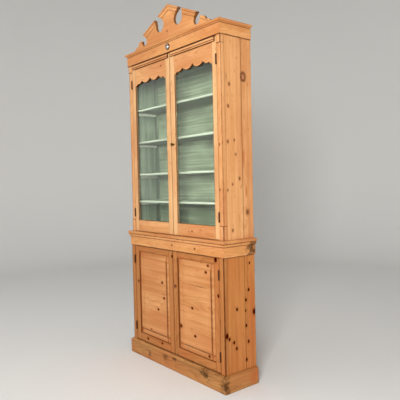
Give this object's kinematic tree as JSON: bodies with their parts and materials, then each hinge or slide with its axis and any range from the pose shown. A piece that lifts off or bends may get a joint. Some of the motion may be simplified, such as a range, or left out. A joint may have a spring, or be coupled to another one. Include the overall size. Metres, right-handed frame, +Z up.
{
  "type": "glazed two-stage bookcase",
  "caption": "Two-stage stripped pine bookcase: panelled cupboard below, glazed upper case with scalloped rails and ratchet shelves, boxed cornice and fretted pediment.",
  "frame": {"origin": "on the floor, at the middle of the outer box's footprint", "axes": "+X along the front towards the viewer's right, +Y from the doors to the back, +Z up"},
  "size_m": [1.113, 0.284, 2.5139],
  "materials": {
    "stripped_pine": "stripped and waxed pine, satin",
    "warm_stripped_pine": "stripped and waxed pine of a redder tone, satin",
    "pale_stripped_pine": "stripped and waxed pine of a paler tone, satin",
    "sage_green_paint": "pine boards under old sage green paint",
    "pale_green_paint": "pine shelves under pale worn green paint",
    "window_glass": "thin clear window glass",
    "black_iron": "dark iron with worn edges",
    "aged_brass": "turned brass with dull patina",
    "polished_pewter": "pale polished metal",
    "dark_turned_wood": "dark stained turned wood, waxed"
  },
  "bodies": {
    "case": {"base_back": "warm_stripped_pine", "base_bottom": "warm_stripped_pine", "base_door_left_lower_hinge": "black_iron", "base_door_left_upper_hinge": "black_iron", "base_door_right_lower_hinge": "black_iron", "base_door_right_upper_hinge": "black_iron", "base_post_left": "warm_stripped_pine", "base_post_right": "warm_stripped_pine", "base_side_left": "warm_stripped_pine", "base_side_right": "warm_stripped_pine", "base_top": "stripped_pine", "cornice_front": "stripped_pine", "cornice_left": "stripped_pine", "cornice_right": "stripped_pine", "frieze_boss": "polished_pewter", "pediment": "stripped_pine", "plinth_front": "warm_stripped_pine", "plinth_left": "warm_stripped_pine", "plinth_right": "warm_stripped_pine", "shelf_1": "pale_green_paint", "shelf_2": "pale_green_paint", "shelf_3": "pale_green_paint", "shelf_4": "pale_green_paint", "upper_back": "sage_green_paint", "upper_bottom": "sage_green_paint", "upper_door_left_lower_hinge": "black_iron", "upper_door_left_upper_hinge": "black_iron", "upper_door_right_lower_hinge": "black_iron", "upper_door_right_upper_hinge": "black_iron", "upper_post_left": "stripped_pine", "upper_post_right": "stripped_pine", "upper_side_left": "stripped_pine", "upper_side_right": "stripped_pine", "upper_top": "sage_green_paint", "waist_frieze_front": "stripped_pine", "waist_frieze_left": "stripped_pine", "waist_frieze_right": "stripped_pine"},
    "upper_door_left": {"upper_door_left_bottom_rail": "pale_stripped_pine", "upper_door_left_glass": "window_glass", "upper_door_left_hinge_stile": "pale_stripped_pine", "upper_door_left_meeting_stile": "pale_stripped_pine", "upper_door_left_top_rail": "pale_stripped_pine"},
    "upper_door_right": {"upper_door_right_bottom_rail": "pale_stripped_pine", "upper_door_right_glass": "window_glass", "upper_door_right_hinge_stile": "pale_stripped_pine", "upper_door_right_meeting_stile": "pale_stripped_pine", "upper_door_right_top_rail": "pale_stripped_pine", "upper_knob": "aged_brass"},
    "base_door_left": {"base_door_left_bottom_rail": "warm_stripped_pine", "base_door_left_hinge_stile": "warm_stripped_pine", "base_door_left_meeting_stile": "warm_stripped_pine", "base_door_left_panel": "warm_stripped_pine", "base_door_left_top_rail": "warm_stripped_pine"},
    "base_door_right": {"base_door_right_bottom_rail": "warm_stripped_pine", "base_door_right_hinge_stile": "warm_stripped_pine", "base_door_right_meeting_stile": "warm_stripped_pine", "base_door_right_panel": "warm_stripped_pine", "base_door_right_top_rail": "warm_stripped_pine", "base_knob": "dark_turned_wood"}
  },
  "joints": [
    {"name": "upper_door_left_swing", "type": "hinge", "parent": "case", "child": "upper_door_left", "pos_m": [-0.48645, -0.1146, 1.5628], "axis": [0, 0, -1], "range_deg": [0, 165]},
    {"name": "upper_door_right_swing", "type": "hinge", "parent": "case", "child": "upper_door_right", "pos_m": [0.48645, -0.1146, 1.5628], "axis": [0, 0, 1], "range_deg": [0, 165]},
    {"name": "base_door_left_swing", "type": "hinge", "parent": "case", "child": "base_door_left", "pos_m": [-0.48645, -0.1276, 0.47], "axis": [0, 0, -1], "range_deg": [0, 165]},
    {"name": "base_door_right_swing", "type": "hinge", "parent": "case", "child": "base_door_right", "pos_m": [0.48645, -0.1276, 0.47], "axis": [0, 0, 1], "range_deg": [0, 165]}
  ]
}
